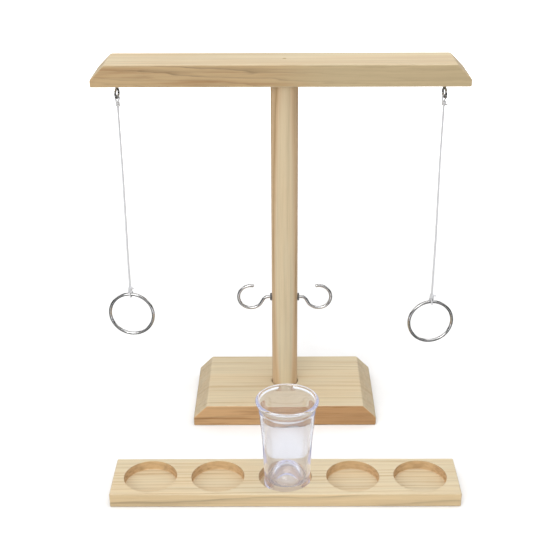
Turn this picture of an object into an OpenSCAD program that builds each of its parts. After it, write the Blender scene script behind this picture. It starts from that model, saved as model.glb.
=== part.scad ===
// Hook and ring toss game: a post with a crossbar on a base board, two rings on strings,
// two open hooks on the post, and a tray of round pockets with one tall shot glass.
// Frame: origin on the ground under the middle of the post, +X along the crossbar,
// +Y to the back, +Z up. Millimetres.

/* [Crossbar] */
// Length of the crossbar
beam_l = 300; // [280:1:330]
// Depth of the crossbar, front to back
beam_w = 43; // [36:1:50]
// Thickness of the crossbar
beam_t = 18; // [16:0.5:22]
// Size of the slanted cut at each end of the crossbar
beam_bevel = 12; // [4:0.5:14]
// Height of the crossbar's underside above the ground
beam_z = 296; // [280:1:320]
// How far the crossbar sits off the middle of the post
beam_shift = -3; // [-6:0.5:6]

/* [Post] */
// Diameter of the round post
post_d = 22.5; // [20:0.5:26]
// Depth of the post's socket in the base and in the crossbar
socket_depth = 8; // [6:0.5:10]
// Gap around the post in its sockets
socket_gap = 0.5; // [0.1:0.1:0.8]

/* [Base] */
// Length of the base board
base_l = 160; // [140:1:190]
// Depth of the base board, front to back
base_w = 90; // [80:1:110]
// Thickness of the base board
base_t = 20; // [18:0.5:24]
// Size of the slanted cut at each end of the base
base_bevel = 12; // [4:0.5:14]

/* [Tray] */
// Length of the tray
tray_l = 274; // [270:1:300]
// Depth of the tray, front to back
tray_w = 49; // [46:1:60]
// Thickness of the tray
tray_t = 12; // [11:0.5:16]
// Distance from the post to the middle of the tray
tray_y = 138; // [120:1:180]
// Diameter of a round pocket
pocket_d = 42; // [40:0.5:44]
// Depth of a round pocket
pocket_depth = 8; // [4:0.5:9]
// Distance between the middles of two pockets
pocket_pitch = 53.6; // [48:0.2:55]

/* [Glass] */
// Sideways place of the glass in its pocket
glass_x = 1.5; // [-2:0.5:2]
// Radius of the dome that the bottom of the glass is pushed up to
glass_dome_r = 12.8; // [11:0.1:13.2]
// Height of that dome's top above the foot
glass_dome_z = 20.5; // [16:0.5:24]

/* [Hooks] */
// Height of the hooks above the ground
hook_z = 104; // [80:1:160]
// Wire diameter of a hook
hook_wire = 2.6; // [2:0.1:3]
// Radius of a hook's round loop at the middle of the wire
hook_r = 10.7; // [9:0.1:11]

/* [Eyes] */
// Distance between the two screw eyes
eye_span = 264; // [240:1:270]
// Outer diameter of an eye
eye_d = 9.6; // [9:0.1:11]
// Wire diameter of an eye
eye_wire = 1.9; // [1.6:0.1:2.1]
// Length of the eye's neck below the crossbar
eye_neck = 5; // [3:0.5:8]
// Turn of each eye away from the front-to-back direction
eye_turn = 12; // [0:1:30]

/* [Rings and strings] */
// Outer diameter of a ring
ring_d = 41; // [38:0.5:46]
// Wire diameter of a ring
ring_wire = 2.6; // [2:0.1:3]
// Turn of each ring out of the crossbar's plane
ring_turn = 5; // [0:1:30]
// Diameter of the string
string_d = 1.8; // [1.6:0.1:2]
// Free length of the left string, knot to knot
left_string_l = 162; // [120:1:170]
// Free length of the right string, knot to knot
right_string_l = 170; // [120:1:175]

/* [Hidden] */

PALE_PINE = [0.88, 0.80, 0.65];
WARM_PINE = [0.84, 0.70, 0.52];
NICKEL = [0.78, 0.78, 0.80];
STEEL = [0.55, 0.55, 0.57];
CORD = [0.94, 0.94, 0.92];
CLEAR = [0.86, 0.87, 0.93, 0.45];
PUTTY = [0.74, 0.68, 0.54];

$fn = 72;
fit = 0.02;            // radial clearance of a screw in its pilot hole
cut = 1;               // how far a cutting shape runs past the face that it opens
edge_r = 1.2;          // rounding of the boards' long edges
socket_ease = 0.6;     // chamfer at the mouth of the base's socket

beam_top = beam_z + beam_t;
pocket_count = 5;
pocket_floor = tray_t - pocket_depth;
pocket_ease = 0.4;     // chamfer at the rim of a pocket

nail_d = 2;
nail_head_d = 3.2;
nail_head_t = 1;
nail_l = 40;
filler_t = 1;

screw_d = 4;
screw_core_d = 3;
screw_l = 32;
screw_head_d = 8;
screw_head_t = 2.4;
screw_sunk = 1;        // depth of the screw head below the base's underside
pilot_past = 1;        // how far the pilot hole runs past the screw's point
slot_l = 4.4;
slot_w = 1;
slot_depth = 1.4;

collar_d = 6.8;
collar_t = 1.5;
collar_gap = 0.05;     // the flat collar just clears the round post
hook_thread_l = 9.5;
hook_lead = 3.5;       // straight wire between the post and the first bend
hook_bend_r = 4.5;
hook_reach = 18.4;     // from the post's surface to the middle of the loop
hook_tip_a = 105;      // where the loop ends, counted from straight outward
hook_root = 0.5;       // length of plain wire inside the post

eye_thread_l = 12;
eye_r = (eye_d - eye_wire) / 2;
eye_gap_a = 14;        // angle of the small opening beside the neck
eye_wire_z = beam_z - eye_neck - eye_d + eye_wire / 2;
thread_pitch = 1.5;
thread_depth = 0.35;

loop_cord = 1.6;       // the string is pressed a little flatter where it is knotted
loop_gap = 0.3;        // clearance between a string loop and the wire it hangs on
loop_lean = 20;        // how far each leg of a loop leans towards the knot
leg_l = 2.6;
knot_r = 1.9;
knot_h = 4;
knot_round = 0.7;
tail_d = 1.3;
top_loop_r = (eye_wire + loop_cord) / 2 + loop_gap;
ring_loop_r = (ring_wire + loop_cord) / 2 + loop_gap;
top_knot_drop = 2.9;   // from the eye's lowest wire down to the knot's top
ring_knot_rise = 3.2;  // from the ring's highest wire up to the knot's underside
string_in = 0.5;       // how far the string reaches into the upper knot
pivot_room = 0.1;      // clearance around the string's top in the upper knot
mouth_r = 0.8;         // how much wider than the string the upper knot's mouth is
throat_r = 0.25;       // how much wider than the string it is where the mouth narrows
string_top_z = eye_wire_z - top_knot_drop - knot_h + string_in;

// How far each string strays sideways, from its top to its bottom, at even steps down
LEFT_STRAY = [0, 0, 0, 0.1, 0.1, 0.1, 0.2, 0.2, 0.2, 0.3, 0.3, 0.3, 0.3, 0.3, 0.2, 0.2,
              0.2, 0.1, 0.1, 0.1, 0, 0, 0, -0.1, -0.1, -0.1, -0.1, -0.1, 0, 0, 0];
RIGHT_STRAY = [0, 0, 0, 0, -0.1, -0.1, -0.1, -0.2, -0.2, -0.2, -0.2, -0.1, -0.1, -0.1,
               0, 0, 0, 0.1, 0.1, 0.2, 0.2, 0.2, 0.3, 0.3, 0.3, 0.2, 0.2, 0.2, 0.1, 0.1,
               0.1, 0, 0, 0, 0];
// Loose end of the string beside the upper knot and beside the ring's knot, from the wire
TOP_TAIL = [[1.2, -4.4], [2.1, -4.9], [2.6, -5.8], [2.7, -7], [2.8, -8.6]];
RING_TAIL = [[1.2, 4.6], [2.2, 4.8], [3.2, 4.6], [4.2, 4]];

left_eye_x = beam_shift - eye_span / 2;
right_eye_x = beam_shift + eye_span / 2;

// Points of a quarter turn of radius r about [x, y], from angle a
function corner(x, y, r, a, n = 3) =
    [for (i = [0 : n]) [x + r * cos(a + 90 * i / n), y + r * sin(a + 90 * i / n)]];

function round_rect(w, h, r) = concat(
    corner(w / 2 - r, h / 2 - r, r, 0), corner(r - w / 2, h / 2 - r, r, 90),
    corner(r - w / 2, r - h / 2, r, 180), corner(w / 2 - r, r - h / 2, r, 270));

// End view of a board with slanted top corners and rounded lower ones
function bevel_outline(l, t, bevel, r) = concat(
    corner(r - l / 2, r, r, 180), corner(l / 2 - r, r, r, 270),
    [[l / 2, t - bevel], [l / 2 - bevel, t], [bevel - l / 2, t], [-l / 2, t - bevel]]);

function unit(v) = v / norm(v);

// Frame across a route in the XZ plane at point i: the first side lies in that plane
function along(p, i) = unit(p[min(i + 1, len(p) - 1)] - p[max(i - 1, 0)]);
function ring_points(p, i, r, sides) =
    let (t = along(p, i), s = [-t[1], t[0]])
    [for (k = [0 : sides - 1]) let (a = 360 * k / sides)
        [p[i][0] + r * cos(a) * s[0], r * sin(a), p[i][1] + r * cos(a) * s[1]]];

// Solid tube of a cord that follows the XZ points p
module tube(p, d, sides = 8) {
    rings = len(p);
    points = [for (i = [0 : rings - 1]) each ring_points(p, i, d / 2, sides)];
    faces = concat(
        [[for (k = [sides - 1 : -1 : 0]) k]],
        [for (i = [0 : rings - 2], k = [0 : sides - 1])
            let (a = i * sides, b = a + sides, n = (k + 1) % sides)
            each [[a + k, b + n, b + k], [a + k, a + n, b + n]]],
        [[for (k = [0 : sides - 1]) (rings - 1) * sides + k]]);
    polyhedron(points, faces, convexity = 6);
}

function string_route(l, stray) =
    [for (i = [0 : len(stray) - 1]) [stray[i], -l * i / (len(stray) - 1)]];

// A loop that passes over a wire at the origin, with both legs leaning in to a knot below
function loop_route(r) = let (n = 12, sweep = 180 + 2 * loop_lean,
        last = [r * cos(loop_lean), -r * sin(loop_lean)],
        leg = leg_l * [sin(loop_lean), cos(loop_lean)]) concat(
    [last - leg],
    [for (i = [0 : n]) let (a = -loop_lean + sweep * i / n) [r * cos(a), r * sin(a)]],
    [[-last[0] + leg[0], last[1] - leg[1]]]);

// Round wire through part of a turn in the XZ plane
module wire_arc(r, a0, a1, d) {
    rotate([90, 0, 0]) rotate([0, 0, a0]) rotate_extrude(angle = a1 - a0)
        translate([r, 0]) circle(d = d);
}

// Ridged shank with a point, from the origin down
module thread(l, d) {
    turns = floor((l - d) / thread_pitch);
    core = d / 2 - thread_depth;
    side = [for (i = [0 : turns - 1]) each
        [[core, -thread_pitch * i], [d / 2, -thread_pitch * (i + 0.5)]]];
    rotate_extrude() polygon(concat([[0, 0]], side, [[core, -thread_pitch * turns], [0, -l]]));
}

module bevel_board(l, w, t, bevel) {
    intersection() {
        rotate([90, 0, 0]) linear_extrude(w, center = true)
            polygon(bevel_outline(l, t, bevel, edge_r));
        translate([0, 0, t / 2]) rotate([90, 0, 90]) linear_extrude(l, center = true)
            polygon(round_rect(w, t, edge_r));
    }
}

module knot_body() {
    rotate_extrude() polygon(concat([[0, 0]], corner(knot_r - knot_round, knot_round,
        knot_round, 270), corner(knot_r - knot_round, knot_h - knot_round, knot_round, 0),
        [[0, knot_h]]));
}

module crossbar() {
    color(PALE_PINE) difference() {
        translate([beam_shift, 0, beam_z]) bevel_board(beam_l, beam_w, beam_t, beam_bevel);
        translate([0, 0, beam_z - cut])
            cylinder(d = post_d + 2 * socket_gap, h = socket_depth + cut);
        translate([0, 0, beam_z]) cylinder(d = nail_d + 2 * fit, h = beam_t);
        translate([0, 0, beam_top - nail_head_t - filler_t])
            cylinder(d = nail_head_d + 2 * fit, h = beam_t);
        for (x = [left_eye_x, right_eye_x]) translate([x, 0, beam_z - cut])
            cylinder(d = eye_wire + 2 * fit, h = eye_thread_l + cut);
    }
}

module post() {
    foot = base_t - socket_depth;
    head = beam_z + socket_depth;
    color(PALE_PINE) difference() {
        translate([0, 0, foot]) cylinder(d = post_d, h = head - foot);
        translate([0, 0, foot - cut]) cylinder(d = screw_d + 2 * fit,
            h = screw_sunk + screw_l + pilot_past - foot + cut);
        translate([0, 0, beam_top - filler_t - nail_l]) cylinder(d = nail_d + 2 * fit, h = nail_l);
        for (side = [-1, 1]) translate([side * (post_d / 2 + cut), 0, hook_z])
            rotate([0, -90 * side, 0]) cylinder(d = hook_wire + 2 * fit, h = hook_thread_l + cut);
    }
}

module base() {
    color(WARM_PINE) difference() {
        bevel_board(base_l, base_w, base_t, base_bevel);
        translate([0, 0, base_t - socket_depth])
            cylinder(d = post_d + 2 * socket_gap, h = socket_depth + cut);
        translate([0, 0, base_t - socket_ease])
            cylinder(d1 = post_d + 2 * socket_gap, d2 = post_d + 2 * (socket_gap + 2 * socket_ease),
                h = 2 * socket_ease);
        translate([0, 0, -cut]) cylinder(d = screw_d + 2 * fit, h = base_t);
        translate([0, 0, -cut]) cylinder(d = screw_head_d + 2 * fit, h = cut + screw_sunk);
        translate([0, 0, screw_sunk]) cylinder(d1 = screw_head_d + 2 * fit,
            d2 = screw_d + 2 * fit, h = screw_head_t);
    }
}

module base_screw() {
    plain = base_t - socket_depth - screw_head_t;
    color(STEEL) translate([0, 0, screw_sunk]) difference() {
        union() {
            cylinder(d1 = screw_head_d, d2 = screw_d, h = screw_head_t);
            translate([0, 0, screw_head_t]) cylinder(d = screw_core_d, h = plain);
            translate([0, 0, screw_head_t + plain]) mirror([0, 0, 1])
                thread(screw_l - screw_head_t - plain, screw_d);
        }
        for (a = [0, 90]) rotate([0, 0, a]) translate([-slot_l / 2, -slot_w / 2, -cut])
            cube([slot_l, slot_w, slot_depth + cut]);
    }
}

module crossbar_nail() {
    color(STEEL) translate([0, 0, beam_top - filler_t]) mirror([0, 0, 1]) {
        cylinder(d = nail_head_d, h = nail_head_t);
        translate([0, 0, nail_head_t]) cylinder(d = nail_d, h = nail_l - nail_head_t - nail_d);
        translate([0, 0, nail_l - nail_d]) cylinder(d1 = nail_d, d2 = 0, h = nail_d);
    }
}

module nail_filler() {
    color(PUTTY) translate([0, 0, beam_top - filler_t]) cylinder(d = nail_head_d, h = filler_t);
}

// Middle line of a hook's wire: out of the post, down through a bend, and round the loop
function hook_route() = let (bend = [hook_lead, -hook_bend_r], loop = [hook_reach, 0],
        dive = atan2(hook_bend_r, hook_reach - hook_lead)
            - asin((hook_bend_r + hook_r) / norm(loop - bend)),
        bend_n = 6, loop_n = 24) concat(
    [[-hook_root, 0]],
    [for (i = [0 : bend_n]) let (a = 90 + dive * i / bend_n)
        bend + hook_bend_r * [cos(a), sin(a)]],
    [for (i = [0 : loop_n]) let (a = dive - 90 + (hook_tip_a - dive + 90) * i / loop_n)
        loop + hook_r * [cos(a), sin(a)]]);

module hook() {
    translate([post_d / 2, 0, hook_z]) {
        rotate([0, -90, 0]) mirror([0, 0, 1]) thread(hook_thread_l, hook_wire);
        tube(hook_route(), hook_wire, 12);
    }
}

// Small cupped flange that the hook's wire passes through
module hook_collar() {
    translate([post_d / 2 + collar_gap, 0, hook_z]) rotate([0, 90, 0]) difference() {
        union() {
            cylinder(d = collar_d, h = collar_t / 2);
            translate([0, 0, collar_t / 2])
                cylinder(d1 = collar_d, d2 = collar_d - 2 * collar_t, h = collar_t / 2);
        }
        translate([0, 0, -cut]) cylinder(d = hook_wire + 2 * fit, h = collar_t + 2 * cut);
    }
}

module left_hook() { color(NICKEL) mirror([1, 0, 0]) hook(); }
module right_hook() { color(NICKEL) hook(); }
module left_hook_collar() { color(STEEL) mirror([1, 0, 0]) hook_collar(); }
module right_hook_collar() { color(STEEL) hook_collar(); }

// Screw eye with its loop lying front to back, turned by the given angle
module eye(x, turn) {
    translate([x, 0, beam_z]) rotate([0, 0, 90 + turn]) {
        rotate([180, 0, 0]) thread(eye_thread_l, eye_wire);
        translate([0, 0, -eye_neck - eye_wire / 2])
            cylinder(d = eye_wire, h = eye_neck + eye_wire / 2);
        translate([0, 0, -eye_neck - eye_d / 2])
            wire_arc(eye_r, 90, 450 - eye_gap_a, eye_wire);
    }
}

module left_eye() { color(NICKEL) eye(left_eye_x, -eye_turn); }
module right_eye() { color(NICKEL) eye(right_eye_x, eye_turn); }

// Loop over the eye's lowest wire, the knot below it, and the string's loose end
module top_knot(x, turn) {
    translate([x, 0, eye_wire_z]) rotate([0, 0, turn]) difference() {
        union() {
            tube(loop_route(top_loop_r), loop_cord);
            translate([0, 0, -top_knot_drop - knot_h]) knot_body();
            tube(TOP_TAIL, tail_d);
        }
        translate([0, 0, string_top_z - eye_wire_z]) {
            sphere(r = string_d / 2 + pivot_room);
            translate([0, 0, -2 * string_in])
                cylinder(r1 = string_d / 2 + mouth_r + pivot_room,
                    r2 = string_d / 2 + throat_r, h = 2 * string_in);
        }
    }
}

module left_top_knot() { color(CORD) top_knot(left_eye_x, -eye_turn); }
module right_top_knot() { color(CORD) top_knot(right_eye_x, eye_turn); }

module left_string() {
    color(CORD) translate([left_eye_x, 0, string_top_z])
        tube(string_route(left_string_l, LEFT_STRAY), string_d);
}

module right_string() {
    color(CORD) translate([right_eye_x, 0, string_top_z])
        tube(string_route(right_string_l, RIGHT_STRAY), string_d);
}

// Knot above a ring, its loop under the ring's wire, and the string's loose end
module ring_knot(x, z, turn) {
    translate([x, 0, z]) rotate([0, 0, turn]) {
        rotate([0, 180, 90]) tube(loop_route(ring_loop_r), loop_cord);
        translate([0, 0, ring_knot_rise]) knot_body();
        tube(RING_TAIL, tail_d);
    }
}

// Height of the middle of a ring's highest wire
function ring_wire_z(l) = string_top_z - l - knot_h - ring_knot_rise;

module left_ring_knot() {
    color(CORD) ring_knot(left_eye_x, ring_wire_z(left_string_l), -ring_turn);
}
module right_ring_knot() {
    color(CORD) ring_knot(right_eye_x, ring_wire_z(right_string_l), ring_turn);
}

module ring(x, l, turn) {
    r = (ring_d - ring_wire) / 2;
    translate([x, 0, ring_wire_z(l) - r]) rotate([90, 0, turn])
        rotate_extrude() translate([r, 0]) circle(d = ring_wire);
}

module left_ring() { color(NICKEL) ring(left_eye_x, left_string_l, -ring_turn); }
module right_ring() { color(NICKEL) ring(right_eye_x, right_string_l, ring_turn); }

module tray() {
    color(PALE_PINE) translate([0, -tray_y, 0]) difference() {
        intersection() {
            linear_extrude(tray_t) polygon(round_rect(tray_l, tray_w, edge_r));
            translate([0, 0, tray_t / 2]) rotate([90, 0, 0]) linear_extrude(tray_w, center = true)
                polygon(round_rect(tray_l, tray_t, edge_r));
            translate([0, 0, tray_t / 2]) rotate([90, 0, 90]) linear_extrude(tray_l, center = true)
                polygon(round_rect(tray_w, tray_t, edge_r));
        }
        for (i = [0 : pocket_count - 1])
            translate([(i - (pocket_count - 1) / 2) * pocket_pitch, 0, pocket_floor]) {
                cylinder(d = pocket_d, h = pocket_depth + cut);
                translate([0, 0, pocket_depth - pocket_ease])
                    cylinder(d1 = pocket_d, d2 = pocket_d + 4 * pocket_ease, h = 2 * pocket_ease);
            }
    }
}

// Tall shot glass: footed, slightly flared, with a rolled lip and a bottom pushed up to a dome
module glass() {
    lip = [23, 77.5];
    lip_r = 1.5;
    wall = 2;
    trough = [14.5, 9.5];  // middle of the rounding between the wall and the dome
    trough_r = 1;
    dome_foot = trough[1] - trough_r / 2;
    hollow_foot = dome_foot - wall;
    outer = [[17, 0], [18.2, 1.2], [18.3, 4.5], [17.7, 7], [18.5, 17], [19.3, 37],
             [20.6, 54], [22.2, 70], [23.2, 75]];
    lip_arc = [for (a = [-40 : 20 : 220]) lip + lip_r * [cos(a), sin(a)]];
    inner = [[21.2, 74], [20.3, 70], [18.8, 54], [17.5, 37], [16.4, 24], [15.9, 15]];
    trough_arc = [for (a = [0 : -30 : -120]) trough + trough_r * [cos(a), sin(a)]];
    dome = [for (a = [10 : 10 : 90])
        [glass_dome_r * cos(a), dome_foot + (glass_dome_z - dome_foot) * sin(a)]];
    hollow = [for (a = [90 : -10 : 0])
        [(glass_dome_r - wall) * cos(a), hollow_foot + (glass_dome_z - wall - hollow_foot) * sin(a)]];
    rim = [[glass_dome_r - wall + 0.4, 2], [glass_dome_r - wall + 1, 0.4], [glass_dome_r, 0]];
    color(CLEAR) translate([glass_x, -tray_y, pocket_floor])
        rotate_extrude() polygon(concat(outer, lip_arc, inner, trough_arc, dome, hollow, rim));
}

crossbar();
post();
base();
base_screw();
crossbar_nail();
nail_filler();
left_hook();
right_hook();
left_hook_collar();
right_hook_collar();
left_eye();
right_eye();
left_top_knot();
right_top_knot();
left_string();
right_string();
left_ring_knot();
right_ring_knot();
left_ring();
right_ring();
tray();
glass();
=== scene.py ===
"""Looks of the hook and ring toss game: pine boards and dowel, bright wire, braided string and a
clear shot glass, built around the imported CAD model. Lengths are metres unless a name says otherwise."""

import math
from math import cos, pi, radians, sin

import bmesh
import bpy
import numpy as np
from mathutils import Matrix, Vector, noise


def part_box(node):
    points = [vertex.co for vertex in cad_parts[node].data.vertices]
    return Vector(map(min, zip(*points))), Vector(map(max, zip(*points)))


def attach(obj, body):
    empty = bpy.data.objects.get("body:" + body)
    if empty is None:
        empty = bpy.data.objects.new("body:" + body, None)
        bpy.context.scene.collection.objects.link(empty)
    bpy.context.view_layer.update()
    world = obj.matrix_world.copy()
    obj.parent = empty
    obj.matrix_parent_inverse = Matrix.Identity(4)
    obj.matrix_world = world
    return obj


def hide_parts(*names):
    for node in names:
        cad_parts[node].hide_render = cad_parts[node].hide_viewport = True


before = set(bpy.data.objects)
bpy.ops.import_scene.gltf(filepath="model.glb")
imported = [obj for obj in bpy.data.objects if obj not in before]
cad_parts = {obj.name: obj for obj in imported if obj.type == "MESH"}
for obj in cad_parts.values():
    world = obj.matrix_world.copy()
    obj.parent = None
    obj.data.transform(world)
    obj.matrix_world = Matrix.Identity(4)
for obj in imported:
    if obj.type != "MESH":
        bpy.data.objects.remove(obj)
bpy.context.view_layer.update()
scene = bpy.context.scene
MM = 0.001
SIDES = ("left", "right")

# ---- places and sizes, as in the CAD
POST_R = 11.25 * MM
SOCKET_DEPTH = 8 * MM
SOCKET_GAP = 0.5 * MM
SOCKET_EASE = 0.6 * MM
BEAM_BEVEL = 12 * MM
BASE_BEVEL = 12 * MM
EDGE_R = 1.2 * MM

POCKET_R = 21 * MM
POCKET_DEPTH = 8 * MM
POCKET_PITCH = 53.6 * MM
POCKET_COUNT = 5
POCKET_EASE = 0.4 * MM

HOOK_Z = 104 * MM
HOOK_WIRE = 2.6 * MM
HOOK_R = 10.7 * MM
HOOK_LEAD = 3.5 * MM
HOOK_BEND_R = 4.5 * MM
HOOK_REACH = 18.4 * MM
HOOK_TIP_A = 105
HOOK_THREAD_L = 9.5 * MM
COLLAR_GAP = 0.05 * MM

EYE_WIRE = 1.9 * MM
EYE_R = 3.85 * MM
EYE_NECK = 5 * MM
EYE_THREAD_L = 12 * MM
EYE_TURN = {"left": -12, "right": 12}
NAIL_HEAD_R = 1.6 * MM

RING_WIRE = 2.6 * MM
RING_R = 19.2 * MM
RING_TURN = {"left": -5, "right": 5}
STRING_D = 1.8 * MM
STRING_L = {"left": 162 * MM, "right": 170 * MM}
KNOT_H = 4 * MM
TOP_KNOT_DROP = 2.9 * MM
RING_KNOT_RISE = 3.2 * MM

crossbar_lo, crossbar_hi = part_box("crossbar")
base_lo, base_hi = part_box("base")
tray_lo, tray_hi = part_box("tray")
glass_lo, glass_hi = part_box("glass")
BEAM_Z = crossbar_lo.z
STRING_TOP_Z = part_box("left_string")[1].z
EYE_WIRE_Z = BEAM_Z - EYE_NECK - 2 * EYE_R - EYE_WIRE / 2

crossbar_middle = (crossbar_lo + crossbar_hi) / 2
base_middle = (base_lo + base_hi) / 2
tray_middle = (tray_lo + tray_hi) / 2
post_middle = Vector((0, 0, BEAM_Z / 2))
ring_middle, string_x = {}, {}
for side in SIDES:
    lo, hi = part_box(side + "_ring")
    ring_middle[side] = (lo + hi) / 2
    string_x[side] = (lo.x + hi.x) / 2


# ---- camera
CAMERA_AT = Vector((-2.19, -845.83, 509.17)) * MM
CAMERA_DOWN = radians(24.704)
CAMERA_YAW = radians(-0.125)
CAMERA_ROLL = radians(-0.179)
LENS_MM = 68.73
SENSOR_MM = 36
CLIP_START = 0.02


def make_camera():
    """The camera at the viewing angle of the reference."""
    level = Vector((sin(CAMERA_YAW), cos(CAMERA_YAW), 0))
    ahead = level * cos(CAMERA_DOWN) - Vector((0, 0, sin(CAMERA_DOWN)))
    right = Vector((cos(CAMERA_YAW), -sin(CAMERA_YAW), 0))
    up = right.cross(ahead)
    rolled_right = right * cos(CAMERA_ROLL) + up * sin(CAMERA_ROLL)
    rolled_up = up * cos(CAMERA_ROLL) - right * sin(CAMERA_ROLL)
    data = bpy.data.cameras.new("camera")
    data.lens = LENS_MM
    data.sensor_width = SENSOR_MM
    data.clip_start = CLIP_START
    camera = bpy.data.objects.new("camera", data)
    turn = Matrix((rolled_right, rolled_up, -ahead)).transposed()
    camera.matrix_world = Matrix.Translation(CAMERA_AT) @ turn.to_4x4()
    scene.collection.objects.link(camera)
    scene.camera = camera


make_camera()


# ---- shader helpers
def hooked(tree, socket, value):
    """Links value to the socket if it is a socket itself, and sets it otherwise."""
    if isinstance(value, bpy.types.NodeSocket):
        tree.links.new(value, socket)
    else:
        socket.default_value = value


def add(tree, kind, inputs=None, **settings):
    made = tree.nodes.new("ShaderNode" + kind)
    for key, value in settings.items():
        setattr(made, key, value)
    for key, value in (inputs or {}).items():
        hooked(tree, made.inputs[key], value)
    return made


def calc(tree, operation, *values, clamp=False):
    made = add(tree, "Math", operation=operation, use_clamp=clamp)
    for socket, value in zip(made.inputs, values):
        hooked(tree, socket, value)
    return made.outputs[0]


def times(tree, first, *others):
    for other in others:
        first = calc(tree, "MULTIPLY", first, other)
    return first


def scale_add(tree, value, by, base):
    return calc(tree, "MULTIPLY_ADD", value, by, base)


def hypotenuse(tree, a, b):
    return calc(tree, "SQRT", calc(tree, "ADD", times(tree, a, a), times(tree, b, b)))


def mix(tree, factor, a, b, blend="MIX"):
    """Mixes two colours. The node has sockets for each data type: those for colours are 0, 6 and 7."""
    made = add(tree, "Mix", data_type="RGBA", blend_type=blend)
    for index, value in ((0, factor), (6, a), (7, b)):
        hooked(tree, made.inputs[index], value)
    return made.outputs[2]


def rgb(srgb):
    """A linear colour with alpha from an sRGB one in 0 to 255."""
    levels = [c / 255 for c in srgb]
    return tuple(c / 12.92 if c <= 0.04045 else ((c + 0.055) / 1.055) ** 2.4 for c in levels) + (1.0,)


def ramp(tree, value, stops, interpolation="LINEAR"):
    """A colour ramp through (place, level) stops, where a level is a grey from 0 up or an sRGB colour."""
    made = add(tree, "ValToRGB", {"Fac": value})
    made.color_ramp.interpolation = interpolation
    band = made.color_ramp.elements
    while len(band) < len(stops):
        band.new(0.5)
    for element, (place, level) in zip(band, stops):
        element.position = place
        element.color = (level, level, level, 1) if isinstance(level, (int, float)) else rgb(level)
    return made.outputs["Color"]


def spread(tree, value, low, high, to_low=0.0, to_high=1.0):
    """Maps value from low..high to to_low..to_high, smoothly and held at both ends."""
    made = add(tree, "MapRange", interpolation_type="SMOOTHSTEP")
    for index, level in enumerate((value, low, high, to_low, to_high)):
        hooked(tree, made.inputs[index], level)
    return made.outputs[0]


def noise_of(tree, vector, scale=1.0, detail=2.0, rough=0.5, out="Fac"):
    inputs = {"Vector": vector, "Scale": scale, "Detail": detail, "Roughness": rough}
    return add(tree, "TexNoise", inputs).outputs[out]


def scaled(tree, vector, by):
    return add(tree, "VectorMath", {0: vector, 1: by}, operation="MULTIPLY").outputs[0]


def grey(tree, level):
    return add(tree, "CombineColor", {0: level, 1: level, 2: level}).outputs[0]


def material(name, **constants):
    """A new material with its Principled shader; constants are set on the shader's own sockets."""
    made = bpy.data.materials.new(name)
    made.use_nodes = True
    shader = made.node_tree.nodes["Principled BSDF"]
    for key, value in constants.items():
        shader.inputs[key.replace("_", " ").title().replace("Ior", "IOR")].default_value = value
    return made, made.node_tree, shader


def bump(tree, shader, height, depth_mm):
    """Raises the surface by height times depth_mm millimetres."""
    made = add(tree, "Bump", {"Height": height, "Distance": depth_mm * MM, "Strength": 1.0})
    tree.links.new(made.outputs["Normal"], shader.inputs["Normal"])


# ---- pine
SAPWOOD = (212, 197, 166)
SAPWOOD_WARM = (212, 189, 152)
HEARTWOOD = (210, 182, 146)
LATEWOOD = (172, 140, 98)
RESIN = (120, 84, 50)
STAIN = (158, 112, 66)
ENDGRAIN = (180, 164, 138)
ENDGRAIN_DARK = (150, 122, 92)
BURNISHED = (220, 205, 174)
CUT_WALL = (214, 176, 130)
CUT_WALL_DARK = (188, 148, 104)
LATE_SHADE = 0.7  # late wood on the faces that look to the front and back, against their side_tone
SEED_STEP_MM = 137

# Darkness through one year: pale early wood, a slow rise and a sharp end
YEAR = ((0.0, 0.3), (0.06, 0.02), (0.45, 0.08), (0.78, 0.42), (0.93, 1.0), (1.0, 0.3))

# Noise patterns in wood: waves per mm along and across the grain, then detail and roughness
PATTERNS = {
    "sway": ((0.011, 0.028, 0.028), 2.5, 0.5),
    "fuzz": ((0.04, 0.8, 0.8), 3.0, 0.5),
    "flame": ((0.014, 0.17, 0.17), 3.0, 0.55),
    "strength": ((0.007, 0.1, 0.1), 1.5, 0.5),
    "tone": ((0.009, 0.06, 0.06), 2.0, 0.5),
    "smoke": ((0.013, 0.3, 0.3), 4.0, 0.62),
    "streak": ((0.008, 0.5, 0.5), 3.0, 0.6),
    "fibre": ((0.035, 2.6, 2.6), 4.0, 0.6),
    "canal": ((0.16, 5.2, 5.2), 1.0, 0.5),
    "speck": ((0.6, 4.5, 4.5), 2.0, 0.5),
    "soak": ((0.1, 0.09, 0.5), 3.0, 0.6),
    "chew": ((0.12, 0.4, 0.4), 3.0, 0.5),
    "blotch": ((0.12, 0.3, 0.5), 3.0, 0.5),
}


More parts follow.
